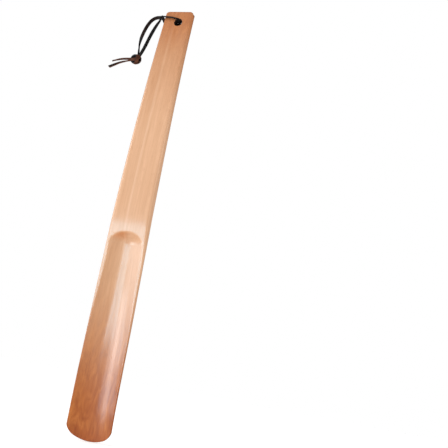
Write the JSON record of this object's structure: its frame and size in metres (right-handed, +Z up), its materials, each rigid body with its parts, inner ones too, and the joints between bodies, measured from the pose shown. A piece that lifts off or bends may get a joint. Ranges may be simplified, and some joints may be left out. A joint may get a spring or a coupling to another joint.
{
  "type": "long shoehorn",
  "caption": "Long-handled wooden shoehorn: flat tapering handle, scooped blade that guides the heel, and a knotted leather hanging lace.",
  "frame": {"origin": "middle of the foot edge, in the plane of the blade's front rims", "axes": "+Z up the horn from the foot edge to the top of the handle, +Y out of the convex back, +X to the right when looking into the scoop"},
  "size_m": [0.081, 0.019, 0.4],
  "materials": {
    "lacquered_wood": "satin clear lacquer over natural wood",
    "leather_lace": "dark brown, nearly black"
  },
  "bodies": {
    "wood": {"shoehorn_body": "lacquered_wood"},
    "lace_at_hole": {"lace_through_hole": "leather_lace", "lace_front_run": "leather_lace", "lace_back_run": "leather_lace"},
    "lace_loop": {"lace_outer_strand": "leather_lace", "lace_inner_strand": "leather_lace"},
    "knot": {"lace_knot": "leather_lace"},
    "tail_long": {"lace_tail_long": "leather_lace"},
    "tail_short": {"lace_tail_short": "leather_lace"}
  },
  "joints": [
    {"name": "lace_swing", "type": "hinge", "parent": "wood", "child": "lace_at_hole", "pos_m": [0.001, 0.0018, 0.38722], "axis": [0, 0.9957, -0.0926], "range_deg": [-6, 70]},
    {"name": "loop_swing", "type": "hinge", "parent": "lace_at_hole", "child": "lace_loop", "pos_m": [-0.0186, 0.00253, 0.39509], "axis": [0, 0.9957, -0.0926], "range_deg": [-6, 90]},
    {"name": "knot_swing", "type": "hinge", "parent": "lace_loop", "child": "knot", "pos_m": [-0.0314, -0.00136, 0.35317], "axis": [0, 0.9957, -0.0926], "range_deg": [-15, 25]},
    {"name": "tail_long_swing", "type": "hinge", "parent": "knot", "child": "tail_long", "pos_m": [-0.0404, -0.00194, 0.34699], "axis": [0, 0.9957, -0.0926], "range_deg": [-50, 45]},
    {"name": "tail_short_swing", "type": "hinge", "parent": "knot", "child": "tail_short", "pos_m": [-0.0404, -0.00194, 0.34699], "axis": [0, 0.9957, -0.0926], "range_deg": [-50, 45]}
  ]
}
